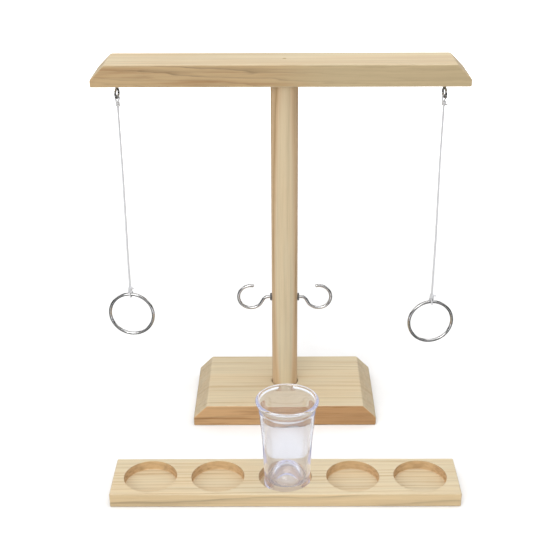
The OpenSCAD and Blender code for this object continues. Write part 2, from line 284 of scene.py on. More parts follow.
class Wood:
    """A pine material in the making, with its places in mm along (x) and across (y, z) the grain."""

    def __init__(self, name, centre, along, seed, toned_sides):
        self.made, self.tree, self.shader = material(name, specular_ior_level=0.35)
        self.seed = seed
        tree = self.tree
        place = add(tree, "TexCoord").outputs
        from_centre = [-c / MM for c in centre]
        inputs = {"Vector": place["Object"], "Scale": (1 / MM,) * 3, "Location": from_centre}
        axes = add(tree, "SeparateXYZ", {0: add(tree, "Mapping", inputs).outputs[0]}).outputs
        self.x, self.y, self.z = axes if along == "X" else (axes[2], axes[0], axes[1])
        shifted = calc(tree, "ADD", self.x, seed * SEED_STEP_MM)
        self.grain = add(tree, "CombineXYZ", {0: shifted, 1: self.y, 2: self.z}).outputs[0]
        facing = add(tree, "SeparateXYZ", {0: place["Normal"]}).outputs
        self.end = spread(tree, calc(tree, "ABSOLUTE", facing[0 if along == "X" else 2]), 0.35, 0.95)
        # faces that look to the front and back take the board's side_tone in place of the sapwood colour
        self.side = spread(tree, calc(tree, "ABSOLUTE", facing[1]), 0.5, 0.9) if toned_sides else 0.0
        self.far = 0.0
        self.wild = 1.0

    def pattern(self, name, out="Fac"):
        scale, detail, rough = PATTERNS[name]
        return noise_of(self.tree, scaled(self.tree, self.grain, scale), 1.0, detail, rough, out)


def years_of(wood, pith, drift, bow, wobble, ring, phase):
    """Distance from the wandering pith line in mm, and the same counted in years."""
    tree = wood.tree
    sway = add(tree, "SeparateXYZ", {0: wood.pattern("sway", "Color")}).outputs
    arch = times(tree, wood.x, wood.x, bow)
    across = []
    for value, start, slope, shift in zip((wood.y, wood.z), pith, drift, sway):
        line = calc(tree, "ADD", scale_add(tree, wood.x, slope, start), arch)
        bent = scale_add(tree, calc(tree, "SUBTRACT", shift, 0.5), wobble, line)
        across.append(calc(tree, "SUBTRACT", value, bent))
    away = hypotenuse(tree, *across)
    uneven = noise_of(tree, add(tree, "CombineXYZ", {0: away, 1: wood.seed}).outputs[0], 0.11, 1.0)
    years = scale_add(tree, uneven, 2.0, calc(tree, "DIVIDE", away, ring))
    years = scale_add(tree, wood.pattern("fuzz"), 0.14, years)
    return away, calc(tree, "ADD", years, phase)


def late_wood(wood, years, flame, contrast):
    """How much late wood shows at each place, stronger in some stretches and calmer in others."""
    tree = wood.tree
    if flame:
        lick = times(tree, wood.pattern("flame"), wood.side)
        years = scale_add(tree, lick, flame, years)
    strength = spread(tree, wood.pattern("strength"), 0.35, 0.68, 0.25, 1.0)
    shown = scale_add(tree, wood.wild, 0.8, 0.2)
    return times(tree, ramp(tree, calc(tree, "FRACT", years), YEAR, "EASE"), strength, contrast, shown)


def season_colour(wood, away, late, heart, side_tone, far_tone):
    """Sapwood with a warmer heart, or the board's side_tone on its faces that look to the front and back,
    darkened by the late wood.
    """
    tree = wood.tree
    warm = spread(tree, wood.pattern("tone"), 0.4, 0.7, 0.0, 0.6)
    sap = mix(tree, warm, rgb(SAPWOOD), rgb(SAPWOOD_WARM))
    if heart:
        sap = mix(tree, spread(tree, away, heart + 0.6, heart - 1.0), sap, rgb(HEARTWOOD))
    # side_tone is warmer than the top, and darker on the crossbar and base
    toned_sides = mix(tree, wood.far, rgb(side_tone), rgb(far_tone))
    dark = mix(tree, wood.side, rgb(LATEWOOD), rgb([c * LATE_SHADE for c in side_tone]))
    return mix(tree, late, mix(tree, wood.side, sap, toned_sides), dark)


def stained(wood, colour, stain):
    """Long smoky stains on the sides."""
    tree = wood.tree
    smoke = spread(tree, wood.pattern("smoke"), 0.46, 0.7, 0.0, stain)
    return mix(tree, times(tree, smoke, wood.wild, wood.side), colour, rgb(STAIN))


def fibrous(wood, colour, fibre, canal):
    """Faint long streaks, fibres and short dark resin canals."""
    tree = wood.tree
    light = ramp(tree, wood.pattern("streak"), ((0.3, 0.9), (0.5, 1.0), (0.7, 1.06)))
    colour = mix(tree, 1.0, colour, light, "MULTIPLY")
    light = ramp(tree, fibre, ((0.25, 0.88), (0.5, 0.98), (0.75, 1.0)))
    colour = mix(tree, 1.0, colour, light, "MULTIPLY")
    return mix(tree, times(tree, canal, 0.4), colour, rgb(RESIN))


def end_grained(wood, colour, speck):
    """End grain drinks more finish, so it is darker."""
    tree = wood.tree
    drunk = mix(tree, spread(tree, speck, 0.35, 0.65), rgb(ENDGRAIN), rgb(ENDGRAIN_DARK))
    soak = ramp(tree, wood.pattern("soak"), ((0.35, 0.78), (0.6, 1.1)))
    drunk = mix(tree, 1.0, drunk, soak, "MULTIPLY")
    return mix(tree, times(tree, wood.end, 0.6), colour, drunk)


def worn_edges(wood, half):
    """1 at handled edges: the middle of the three distances to a board's faces is small there."""
    tree = wood.tree
    places = (wood.x, wood.y, wood.z)
    gaps = [calc(tree, "SUBTRACT", h, calc(tree, "ABSOLUTE", v)) for h, v in zip(half, places)]
    low = calc(tree, "MINIMUM", gaps[0], gaps[1])
    high = calc(tree, "MAXIMUM", gaps[0], gaps[1])
    edge = calc(tree, "MAXIMUM", low, calc(tree, "MINIMUM", high, gaps[2]))
    return spread(tree, scale_add(tree, wood.pattern("chew"), 1.6, edge), 0.9, 2.1, 1.0, 0.0)


def pocket_marks(wood, colour, height):
    """Fine rings of the cutter on each pocket's floor, and its torn, warmer wall."""
    tree = wood.tree
    turn = calc(tree, "WRAP", wood.x, POCKET_PITCH / MM / 2, -POCKET_PITCH / MM / 2)
    radius = hypotenuse(tree, turn, wood.y)
    inside = spread(tree, wood.z, -3.2, -2.4)
    floor = times(tree, spread(tree, wood.z, -1.7, -1.2, 1.0, 0.0), inside, spread(tree, radius, 20.4, 20.0))
    marks = calc(tree, "SINE", times(tree, radius, 5.2))
    height = scale_add(tree, times(tree, marks, floor), 0.22, height)
    wall = times(tree, spread(tree, radius, 20.2, 20.8), spread(tree, radius, 22.2, 21.6))
    wall = times(tree, wall, spread(tree, wood.z, 5.9, 5.2), inside)
    wall = times(tree, wall, spread(tree, wood.end, 0.1, 0.8, 0.45, 0.7))
    blotch = spread(tree, wood.pattern("blotch"), 0.42, 0.62)
    torn = mix(tree, blotch, rgb(CUT_WALL), rgb(CUT_WALL_DARK))
    return mix(tree, wall, colour, torn), height


def pine(name, centre, pith, drift, ring, seed, along="X", bow=0.0, phase=0.0, wobble=4.0, contrast=0.5,
         side_tone=None, heart=0.0, half=None, pockets=False, flame=0.0, stain=0.0, calm=None):
    """Pine cut from one piece: yearly rings about a pith line, fibres, pores, end grain and worn edges.

    centre is the piece's middle, and the rest is in millimetres from it: pith is where the pith line
    crosses the middle, drift and bow how it leaves it along the grain, wobble how far it wanders, ring
    the usual width of a year, side_tone the tone given to the faces that look to the front and back,
    heart the radius of the warmer heartwood, and half the half sizes of a board whose edges are worn.
    flame is how many years the rings lick up and down on the sides, and stain how strong their smoky
    stains are. calm is where along the grain the sides turn to another tone, from and to, that tone,
    and how far they calm down."""
    wood = Wood(name, centre, along, seed, bool(side_tone))
    tree = wood.tree
    far_tone = side_tone = side_tone or SAPWOOD
    if calm:
        start, end, far_tone, amount = calm
        wood.far = spread(tree, wood.x, start, end)
        wood.wild = calc(tree, "SUBTRACT", 1.0, times(tree, wood.side, wood.far, amount))
    away, years = years_of(wood, pith, drift, bow, wobble, ring, phase)
    late = late_wood(wood, years, flame, contrast)
    fibre, speck = wood.pattern("fibre"), wood.pattern("speck")
    canal = spread(tree, wood.pattern("canal"), 0.66, 0.78)
    canal = times(tree, canal, spread(tree, late, 0.1, 0.4, 0.25, 1.0))

    colour = season_colour(wood, away, late, heart, side_tone, far_tone)
    if stain:
        colour = stained(wood, colour, stain)
    colour = fibrous(wood, colour, fibre, canal)
    colour = end_grained(wood, colour, speck)
    rough = scale_add(tree, wood.end, 0.14, spread(tree, late, 0.0, 0.7, 0.56, 0.42))
    height = scale_add(tree, fibre, 0.55, times(tree, late, 0.5))
    height = calc(tree, "SUBTRACT", height, times(tree, canal, 0.5))
    height = scale_add(tree, times(tree, wood.end, speck), 0.8, height)
    if half is not None:
        worn = worn_edges(wood, half)
        colour = mix(tree, times(tree, worn, 0.3), colour, rgb(BURNISHED))
        rough = scale_add(tree, worn, -0.1, rough)
    if pockets:
        colour, height = pocket_marks(wood, colour, height)

    tree.links.new(colour, wood.shader.inputs["Base Color"])
    tree.links.new(rough, wood.shader.inputs["Roughness"])
    bump(tree, wood.shader, height, 0.05)
    return wood.made


def halves(lo, hi):
    """Half sizes of a box, in millimetres."""
    return [(b - a) / 2 / MM for a, b in zip(lo, hi)]


crossbar_pine = pine(
    "crossbar_pine", crossbar_middle, (-58, 24), (0.0, -0.05), 3.6, 1.0, contrast=0.9,
    side_tone=(190, 162, 121), flame=2.6, stain=0.5, calm=(-30, 50, (188, 168, 131), 1.0),
    half=halves(crossbar_lo, crossbar_hi))
base_pine = pine(
    "base_pine", base_middle, (-74, -14), (0.0, 0.02), 8.6, 2.0, contrast=0.62, wobble=4.0,
    side_tone=(206, 165, 118), stain=0.8, calm=(-10, 40, (189, 146, 100), 0.0),
    half=halves(base_lo, base_hi))
tray_pine = pine(
    "tray_pine", tray_middle, (-66, -14), (0.01, 0.02), 4.6, 3.0, contrast=0.65, wobble=3.0,
    side_tone=(218, 193, 151), stain=0.15, half=halves(tray_lo, tray_hi), pockets=True)
post_pine = pine(
    "post_pine", post_middle, (0.0, 24), (0.0, 0.0), 5.0, 4.0, along="Z", bow=-0.95e-4,
    phase=0.34, contrast=0.9, wobble=1.2, heart=33.2)


# ---- other materials
TARNISH = (0.8, 0.76, 0.7)
STRING_GAP_SHADE = (176, 177, 180)
STRING_TOP = (217, 218, 221)
STRING_GRIME = (204, 202, 196)
PUTTY_DARK = (150, 128, 92)
PUTTY_PALE = (196, 178, 142)
GLASS_TINT = (0.83, 0.84, 0.86, 1)
GLASS_GLOW = (0.6, 0.6, 0.78, 1)


def bright_wire(name, level, rough, tarnish, seed):
    """Plated steel wire: drawing lines, fine scratches, finger marks and a little tarnish."""
    made, tree, shader = material(name, metallic=1.0, specular_ior_level=0.5)
    place = add(tree, "TexCoord").outputs["Object"]
    spot = add(tree, "VectorMath", {0: place, 1: (seed, 0, 0)}, operation="ADD").outputs[0]
    cloud = noise_of(tree, spot, 260.0, 3.0)
    grit = noise_of(tree, spot, 2600.0, 2.0)
    scratch = noise_of(tree, scaled(tree, spot, (900.0, 5200.0, 900.0)), 1.0, 2.0)
    dull = [level * k for k in TARNISH]
    colour = mix(tree, spread(tree, cloud, 0.45, 0.75, 0.0, tarnish), rgb([level] * 3), rgb(dull))
    tree.links.new(colour, shader.inputs["Base Color"])
    smear = spread(tree, cloud, 0.35, 0.7, rough, rough * 2.2)
    scuffed = scale_add(tree, spread(tree, scratch, 0.55, 0.7), 0.07, smear)
    tree.links.new(scuffed, shader.inputs["Roughness"])
    bump(tree, shader, calc(tree, "ADD", grit, spread(tree, scratch, 0.6, 0.7)), 0.004)
    return made


def white_string():
    """Braided polyester: bright fibres, painted shade in the gaps of the braid, patches of grime and a soft
    sheen.
    """
    made, tree, shader = material("white_string", roughness=0.62, sheen_weight=0.15, sheen_roughness=0.4)
    place = add(tree, "TexCoord").outputs["Object"]
    hair = noise_of(tree, scaled(tree, place, (5200.0, 5200.0, 900.0)), 1.0, 3.0)
    grime = noise_of(tree, place, 420.0, 3.0)
    relief = add(tree, "Attribute", attribute_name="relief").outputs["Fac"]
    # painted shade: the gaps of the braid, low in its relief, are darker
    colour = mix(tree, spread(tree, relief, 0.0, 0.7), rgb(STRING_GAP_SHADE), rgb(STRING_TOP))
    colour = mix(tree, spread(tree, grime, 0.5, 0.8, 0.0, 0.25), colour, rgb(STRING_GRIME))
    colour = mix(tree, 1.0, colour, ramp(tree, hair, ((0.3, 0.93), (0.7, 1.0))), "MULTIPLY")
    tree.links.new(colour, shader.inputs["Base Color"])
    bump(tree, shader, hair, 0.03)
    return made


def clear_glass():
    """Pressed glass with a faint lavender tint, moulding ripples and finger marks.

    A weak glow stands for the light inside such glass: more of it low in the foot, and most where a
    ray has been reflected so often that it would end up black."""
    made, tree, shader = material(
        "clear_glass", transmission_weight=1.0, ior=1.5, base_color=GLASS_TINT, specular_ior_level=0.5,
        emission_color=GLASS_GLOW)
    place = add(tree, "TexCoord").outputs["Object"]
    smudge = noise_of(tree, place, 70.0, 4.0)
    tree.links.new(spread(tree, smudge, 0.52, 0.8, 0.0, 0.07), shader.inputs["Roughness"])
    # painted light: the glass glows a little, more low in the foot, and most where a ray is trapped by many
    # reflections
    trapped = calc(tree, "GREATER_THAN", add(tree, "LightPath").outputs["Glossy Depth"], 2.5)
    height = add(tree, "SeparateXYZ", {0: place}).outputs[2]
    foot_glow = spread(tree, height, 0.04, 0.014, 0.03, 0.055)
    glow = scale_add(tree, trapped, 0.26, foot_glow)
    tree.links.new(glow, shader.inputs["Emission Strength"])
    bump(tree, shader, noise_of(tree, scaled(tree, place, (60.0, 60.0, 170.0)), 1.0, 1.0), 0.05)
    return made


def putty():
    """Wood filler: matt, gritty and greyer than the wood."""
    made, tree, shader = material("putty", roughness=0.8, specular_ior_level=0.2)
    place = add(tree, "TexCoord").outputs["Object"]
    grit = noise_of(tree, place, 3000.0, 4.0, 0.7)
    colour = ramp(tree, grit, ((0.3, PUTTY_DARK), (0.7, PUTTY_PALE)))
    tree.links.new(colour, shader.inputs["Base Color"])
    bump(tree, shader, grit, 0.08)
    return made


filler = putty()
hook_metal = bright_wire("hook_metal", 206, 0.12, 0.35, 0.0)
collar_metal = bright_wire("collar_metal", 130, 0.3, 0.7, 0.3)
eye_metal = bright_wire("eye_metal", 170, 0.16, 0.5, 0.6)
ring_metal = bright_wire("ring_metal", 204, 0.06, 0.2, 0.9)
hidden_metal = bright_wire("hidden_metal", 176, 0.34, 0.6, 1.3)
string_white = white_string()
glass_clear = clear_glass()


# ---- mesh helpers
def mm(points):
    """Points given in millimetres, in metres."""
    return [tuple(value * MM for value in point) for point in points]


def lengths_along(line):
    """Distance from the line's start to each of its points."""
    return np.concatenate([[0], np.cumsum(np.linalg.norm(np.diff(line, axis=0), axis=1))])


def even(line, step):
    """The line again, with points at equal distances of about step."""
    along = lengths_along(line)
    at = np.linspace(0, along[-1], max(2, round(along[-1] / step) + 1))
    return np.stack([np.interp(at, along, line[:, k]) for k in range(3)], axis=1)


def smooth(points, step):
    """Points at equal distances along a smooth curve through the given ones."""
    p = np.array(points, float)
    t = lengths_along(p)
    slope = np.gradient(p, t, axis=0)
    fine = np.linspace(0, t[-1], int(4 * t[-1] / step) + 2)
    i = np.clip(np.searchsorted(t, fine, side="right") - 1, 0, len(t) - 2)
    h = (t[i + 1] - t[i])[:, None]
    u = (fine - t[i])[:, None] / h
    line = ((2 * u**3 - 3 * u**2 + 1) * p[i] + (u**3 - 2 * u**2 + u) * h * slope[i]
            + (3 * u**2 - 2 * u**3) * p[i + 1] + (u**3 - u**2) * h * slope[i + 1])
    return even(line, step)


def arc(cx, cy, r, a0, a1, n):
    """Points of an arc about (cx, cy), from angle a0 to a1 in n steps."""
    angles = [radians(a0 + (a1 - a0) * i / n) for i in range(n + 1)]
    return [(cx + r * cos(a), cy + r * sin(a)) for a in angles]


def turned(points, angle, at):
    """Points turned about Z by angle degrees, then moved to at."""
    c, s = cos(radians(angle)), sin(radians(angle))
    return [(at[0] + x * c - y * s, at[1] + x * s + y * c, at[2] + z) for x, y, z in points]


def linked(name, data):
    made = bpy.data.objects.new(name, data)
    scene.collection.objects.link(made)
    return made


def piece(name, mesh, finish, body):
    """A smooth shaded piece that rides on a body."""
    mesh.materials.append(finish)
    made = linked(name, mesh)
    mesh.shade_smooth()
    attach(made, body)
    return made


def new_mesh(name, verts, faces):
    mesh = bpy.data.meshes.new(name)
    mesh.from_pydata([tuple(v) for v in verts], [], faces)
    return mesh


def new_object(name, verts, faces, finish, body):
    mesh = new_mesh(name, verts, faces)
    mesh.validate()
    return piece(name, mesh, finish, body)


def square_to(p, closed):
    """Two unit directions square to the path at each of its points, which don't twist along it."""
    ahead = np.roll(p, -1, 0) - np.roll(p, 1, 0) if closed else np.gradient(p, axis=0)
    ahead /= np.linalg.norm(ahead, axis=1)[:, None]
    side = np.cross(ahead[0], (0.0, 1.0, 0.0))
    if np.linalg.norm(side) < 0.3:
        side = np.cross(ahead[0], (1.0, 0.0, 0.0))
    sides = []
    for t in ahead:
        side = side - t * (side @ t)
        side /= np.linalg.norm(side)
        sides.append(side)
    sides = np.array(sides)
    return sides, np.cross(ahead, sides)


def sweep(path, radius, sides, closed=False):
    """A tube along the path: its vertices, faces and radii. radius(s, a) is for distance s, angle a."""
    p = np.array(path, float)
    count = len(p)
    side, other = square_to(p, closed)
    a = (2 * pi * np.arange(sides) / sides)[None, :]
    r = radius(lengths_along(p)[:, None], a) * np.ones((count, sides))
    out = np.cos(a)[:, :, None] * side[:, None] + np.sin(a)[:, :, None] * other[:, None]
    verts = (p[:, None] + r[:, :, None] * out).reshape(-1, 3)
    faces = []
    for i in range(count if closed else count - 1):
        low, high = i * sides, (i + 1) % count * sides
        for k in range(sides):
            n = (k + 1) % sides
            faces.append((low + k, low + n, high + n, high + k))
    if not closed:
        first, last, end = len(verts), len(verts) + 1, (count - 1) * sides
        verts = np.vstack([verts, p[0], p[-1]])
        for k in range(sides):
            n = (k + 1) % sides
            faces.append((first, n, k))
            faces.append((last, end + k, end + n))
    return verts, faces, r


def lathe(profile, segments, centre=(0, 0, 0), shape=None):
    """Turns (radius, height) points about Z; a radius of 0 closes an end. shape(angle, r, z) bends r."""
    verts, faces, rows = [], [], []
    cx, cy, cz = centre
    for r, z in profile:
        if r < 1e-7:
            rows.append([len(verts)])
            verts.append((cx, cy, cz + z))
            continue
        rows.append(list(range(len(verts), len(verts) + segments)))
        for k in range(segments):
            a = 2 * pi * k / segments
            q = r if shape is None else shape(a, r, z)
            verts.append((cx + q * cos(a), cy + q * sin(a), cz + z))
    for low, high in zip(rows, rows[1:]):
        for k in range(segments):
            n = (k + 1) % segments
            if len(low) == 1:
                faces.append((low[0], high[n], high[k]))
            elif len(high) == 1:
                faces.append((low[k], low[n], high[0]))
            else:
                faces.append((low[k], low[n], high[n], high[k]))
    return verts, faces


def clean(obj):
    """Merges doubled points and turns all faces outward."""
    bm = bmesh.new()
    bm.from_mesh(obj.data)
    bmesh.ops.remove_doubles(bm, verts=bm.verts, dist=1e-6)
    bmesh.ops.recalc_face_normals(bm, faces=bm.faces)
    bm.to_mesh(obj.data)
    bm.free()


def crisp(obj, angle=32):
    """Smooth shading that stays flat on flat faces and sharp at true corners."""
    obj.data.set_sharp_from_angle(angle=radians(angle))
    weighted = obj.modifiers.new("weighted", "WEIGHTED_NORMAL")
    weighted.keep_sharp = True


def tool(verts, faces):
    """A cutter for carve()."""
    return linked("tool", new_mesh("tool", verts, faces))


def carve(obj, cutters):
    """Cuts the closed meshes in cutters out of obj, and puts the result in its mesh."""
    for cutter in cutters:
        cut = obj.modifiers.new("cut", "BOOLEAN")
        cut.operation = "DIFFERENCE"
        cut.solver = "EXACT"
        cut.object = cutter
    graph = bpy.context.evaluated_depsgraph_get()
    result = bpy.data.meshes.new_from_object(obj.evaluated_get(graph), depsgraph=graph)
    obj.modifiers.clear()
    obj.data = result
    for cutter in cutters:
        bpy.data.objects.remove(cutter)
    result.shade_smooth()


# ---- strings, first, as they hang
# How far each string strays to the right of plumb, from its top down, in tenths of a millimetre
STRAY = {
    "left": (0, 0, 0, 1, 1, 1, 2, 2, 2, 3, 3, 3, 3, 3, 2, 2, 2, 1, 1, 1, 0, 0, 0, -1, -1, -1, -1,
             -1, 0, 0, 0),
    "right": (0, 0, 0, 0, -1, -1, -1, -2, -2, -2, -2, -1, -1, -1, 0, 0, 0, 1, 1, 2, 2, 2, 3, 3, 3,
              2, 2, 2, 1, 1, 1, 0, 0, 0, 0),
}
STRANDS = 8
BRAID_PITCH = 0.95 * MM
STRING_BRAID = 0.09 * MM
STRING_STEP = 0.15 * MM
STRING_SIDES = 32


def braid(base, depth, ends=0.0, length=None):
    """Radius of a round braid: diamonds of strands that cross each other both ways, with rounded ends."""
    def radius(s, a):
        u = STRANDS * a / (2 * pi) + s / BRAID_PITCH
        v = STRANDS * a / (2 * pi) - s / BRAID_PITCH
        bulge = np.abs(np.sin(pi * u) * np.sin(pi * v)) ** 0.55
        r = base - depth + depth * bulge
        if ends:
            near = np.minimum(s, length - s)
            r = r * np.sqrt(np.clip(1 - np.clip(1 - near / ends, 0, 1) ** 2, 0.02, 1))
        return r
    return radius


def cord_mesh(name, path, radius, depth, sides, body):
    """A braided tube whose 'relief' attribute says how high each point stands in the braid."""
    verts, faces, r = sweep(path, radius, sides)
    made = new_object(name, verts, faces, string_white, body)
    high = 1 + (r - r.max(axis=1, keepdims=True)) / depth
    values = np.append(np.clip(high, 0, 1).ravel(), (0.5, 0.5)).astype(np.float32)
    made.data.attributes.new("relief", "FLOAT", "POINT").data.foreach_set("value", values)
    return made


def string_route(side):
    """The string's own points, from its top in the eye's knot down to the ring's knot."""
    x, length, stray = string_x[side], STRING_L[side], STRAY[side]
    steps = len(stray) - 1
    return [(x + s / 10 * MM, 0, STRING_TOP_Z - length * i / steps) for i, s in enumerate(stray)]


def make_string(side):
    path = smooth(string_route(side), STRING_STEP)
    radius = braid(STRING_D / 2, STRING_BRAID)
    made = cord_mesh(side + "_braided_string", path, radius, STRING_BRAID, STRING_SIDES, side + "_cord")
    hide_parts(side + "_string")
    return made


strings = {side: make_string(side) for side in SIDES}


# ---- knots
KNOT_CORD = 1.35 * MM
KNOT_BRAID = 0.07 * MM
KNOT_STEP = 0.11 * MM
KNOT_SIDES = 24
KNOT_END = 0.7 * MM
COIL_R = 1.22 * MM
COIL_TURNS = 3
COIL_POINTS = 9
HITCH_POINTS = 23
HITCH_SWEEP_A = 560


def beside(z, *points):
    """Points given in millimetres, with their heights counted from z."""
    return [(x * MM, y * MM, z + up * MM) for x, y, up in points]


def coil(start_z, end_z, start_a):
    """Turns round the string from one height to another, but for their first point."""
    steps = COIL_TURNS * COIL_POINTS
    points = []
    for i in range(1, steps + 1):
        a = radians(start_a + 360 * COIL_TURNS * i / steps)
        points.append((COIL_R * cos(a), COIL_R * sin(a), start_z + (end_z - start_z) * i / steps))
    return points


def make_knot(name, node, points, turn, at, body):
    path = smooth(turned(points, turn, at), KNOT_STEP)
    radius = braid(KNOT_CORD / 2, KNOT_BRAID, KNOT_END, lengths_along(path)[-1])
    made = cord_mesh(name, path, radius, KNOT_BRAID, KNOT_SIDES, body)
    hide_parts(node)
    return made


def top_knot(side):
    """Up through the knot, over the eye's lowest wire, back, three turns round, and out as a loose end."""
    r = (EYE_WIRE + KNOT_CORD) / 2 + 0.2 * MM
    top = -TOP_KNOT_DROP - 0.7 * MM
    bottom = -TOP_KNOT_DROP - KNOT_H + 0.75 * MM
    points = beside(bottom, (0, 0, -0.2)) + [(0, 0, (top + bottom) / 2)]
    points += beside(top, (0.1, 0, 0.2)) + beside(0, (1.05, 0.05, -1.7))
    points += [(x, 0, z) for x, z in arc(0, 0, r, -20, 200, 11)]
    points += beside(0, (-1.3, -0.1, -1.75)) + beside(top, (-1.28, -0.2, 0.3))
    points += coil(top, bottom, 190)
    points += beside(bottom, (-0.6, -1.5, -0.1), (1.0, -1.9, 0.2), (2.1, -1.6, 0.1), (2.5, -1.3, -0.8))
    at = (string_x[side], 0, EYE_WIRE_Z)
    return make_knot(side + "_eye_knot", side + "_top_knot", points, EYE_TURN[side], at, side + "_loop")


def ring_knot(side):
    """Down through the knot, a round turn over the ring's wire, three turns back round, a loose end."""
    r = (RING_WIRE + KNOT_CORD) / 2 + 0.35 * MM
    bottom = RING_KNOT_RISE + 0.7 * MM
    top = RING_KNOT_RISE + KNOT_H - 0.75 * MM
    turns = []
    for i in range(HITCH_POINTS):
        part = i / (HITCH_POINTS - 1)
        a = radians(70 + HITCH_SWEEP_A * part)
        turns.append(((1.75 - 3.5 * part) * MM, -r * cos(a), r * sin(a)))
    points = beside(top, (0, 0, 0.2)) + [(0, 0, (top + bottom) / 2)]
    points += beside(bottom, (0.1, 0, -0.1)) + beside(0, (1.5, -0.7, 2.9))
    points += turns[2:-2] + beside(0, (-1.5, 0.7, 2.9))
    points += coil(bottom, top, 150)
    points += beside(top, (-0.5, 1.4, 0.15), (0.6, -1.3, 0.3), (2.2, -1.5, 0.2), (3.6, -1.3, -0.3))
    at = (string_x[side], 0, STRING_TOP_Z - STRING_L[side] - KNOT_H - RING_KNOT_RISE)
    return make_knot(side + "_hitch_knot", side + "_ring_knot", points, RING_TURN[side], at, side + "_hitch")


for side in SIDES:
    upper, lower = top_knot(side), ring_knot(side)


# ---- wire pieces
HOOK_PITCH = 1.5 * MM
EYE_PITCH = 1.2 * MM
THREAD_DEPTH = 0.35 * MM
WELD_A = {"left": 200, "right": 335}
RING_WAVES = 40 / (19 * MM)  # radians of waviness per metre of wire


def screw_radius(r, threaded, pitch, length, round_off, least):
    """Radius of a screwed wire: a point, a helical thread, plain wire of radius r, and a rounded tip."""
    def radius(s, a):
        ridge = np.abs(((s / pitch - a / (2 * pi)) % 1.0) - 0.5) * 2
        thread = r - THREAD_DEPTH + THREAD_DEPTH * np.clip(1.6 * ridge - 0.3, 0, 1)
        blend = np.clip((s - threaded) / (0.8 * MM), 0, 1)
        point = np.clip(s / (2 * r), 0.03, 1)
        left = np.clip(1 - (length - s) / round_off, 0, 1)
        tip = np.sqrt(np.clip(1 - left**2, least**2, 1))
        return (thread * (1 - blend) + r * blend) * point * tip
    return radius


def hook_path():
    """Middle of a hook's wire in the XZ plane, from the screw's point: out, down a bend, round the loop."""
    level = HOOK_REACH - HOOK_LEAD
    lean = math.asin((HOOK_BEND_R + HOOK_R) / math.hypot(level, HOOK_BEND_R))
    dive = math.degrees(math.atan2(HOOK_BEND_R, level) - lean)
    flat = [(-HOOK_THREAD_L, 0), (-HOOK_THREAD_L / 2, 0), (0, 0), (HOOK_LEAD / 2, 0)]
    flat += arc(HOOK_LEAD, -HOOK_BEND_R, HOOK_BEND_R, 90, 90 + dive, 20)
    flat += arc(HOOK_REACH, 0, HOOK_R, dive - 90, HOOK_TIP_A, 90)
    return even(np.array([(x, 0, z) for x, z in flat]), 0.16 * MM)


def make_hook(side):
    path = hook_path()
    threaded, length = HOOK_THREAD_L - 0.5 * MM, lengths_along(path)[-1]
    radius = screw_radius(HOOK_WIRE / 2, threaded, HOOK_PITCH, length, 0.45 * MM, 0.55)
    verts, faces, _ = sweep(path, radius, 28)
    verts = verts + np.array((POST_R, 0, HOOK_Z))
    if side == "left":
        verts = verts * (-1, 1, 1)
        faces = [f[::-1] for f in faces]
    made = new_object(side + "_wire_hook", verts, faces, hook_metal, "stand")
    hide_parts(side + "_hook")


def make_flange(side):
    """Pressed flange with a rolled rim, against the post."""
    sign = -1 if side == "left" else 1
    hole = HOOK_WIRE / 2 + 0.05 * MM
    rim = arc(3.06, 0.34, 0.34, -80, 0, 5) + arc(2.9, 0.86, 0.5, 0, 80, 7)
    rim += [(2.5, 1.4), (1.95, 1.46), (1.6, 1.45)]
    profile = [(hole, 0.0)] + mm(rim) + [(hole, 1.3 * MM), (hole, 0.0)]
    ring, faces = lathe(profile, 40)
    points = [(sign * (POST_R + COLLAR_GAP + z), sign * y, HOOK_Z + x) for x, y, z in ring]
    made = new_object(side + "_hook_flange", points, faces, collar_metal, "stand")
    clean(made)
    crisp(made, 50)
    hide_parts(side + "_hook_collar")


def make_eye(side):
    """Screw eye bent from one wire: thread, neck, a small swan bend into the loop, and the closing end."""
    bend = 1.6 * MM
    centre = -EYE_NECK - EYE_WIRE / 2 - EYE_R
    join = centre + math.sqrt(EYE_R**2 + 2 * bend * EYE_R)
    lead = math.degrees(math.atan2(join - centre, -bend))
    flat = [(0, EYE_THREAD_L), (0, EYE_THREAD_L / 2), (0, 0), (0, join + 0.3 * MM)]
    flat += arc(-bend, join, bend, 0, lead - 180, 10)
    flat += arc(0, centre, EYE_R, lead, 421, 72)[1:]
    at = (string_x[side], 0, BEAM_Z)
    line = even(np.array(turned([(x, 0, z) for x, z in flat], 90 + EYE_TURN[side], at)), 0.13 * MM)
    threaded, length = EYE_THREAD_L - 0.6 * MM, lengths_along(line)[-1]
    radius = screw_radius(EYE_WIRE / 2, threaded, EYE_PITCH, length, 0.35 * MM, 0.5)
    verts, faces, _ = sweep(line, radius, 24)
    made = new_object(side + "_screw_eye", verts, faces, eye_metal, "stand")
    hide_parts(side + "_eye")


def make_ring(side):
    """A welded wire ring; the weld is a low bead at the side, dressed flat."""
    flat = [(x, 0, z) for x, z in arc(0, 0, RING_R, 0, 360, 260)[:-1]]
    path = turned(flat, RING_TURN[side], ring_middle[side])
    weld_s = RING_R * radians(WELD_A[side])

    def radius(s, a):
        bead = np.exp(-((s - weld_s) / (0.55 * MM)) ** 2)
        groove = np.exp(-((s - weld_s) / (0.16 * MM)) ** 2)
        wobble = np.sin(2 * a + RING_WAVES * s)
        return RING_WIRE / 2 + (0.09 * bead - 0.05 * groove + 0.004 * wobble) * MM

    verts, faces, _ = sweep(path, radius, 32, closed=True)
    made = new_object(side + "_steel_ring", verts, faces, ring_metal, side + "_toss_ring")
    clean(made)
    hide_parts(side + "_ring")


for side in SIDES:
    make_hook(side)
    make_flange(side)
    make_eye(side)
    make_ring(side)


# ---- boards, dowel and filler
BOARD_STEP = 6 * MM
BOARD_ROWS = 3
SANDING = 0.14 * MM
TURNING = 0.1 * MM


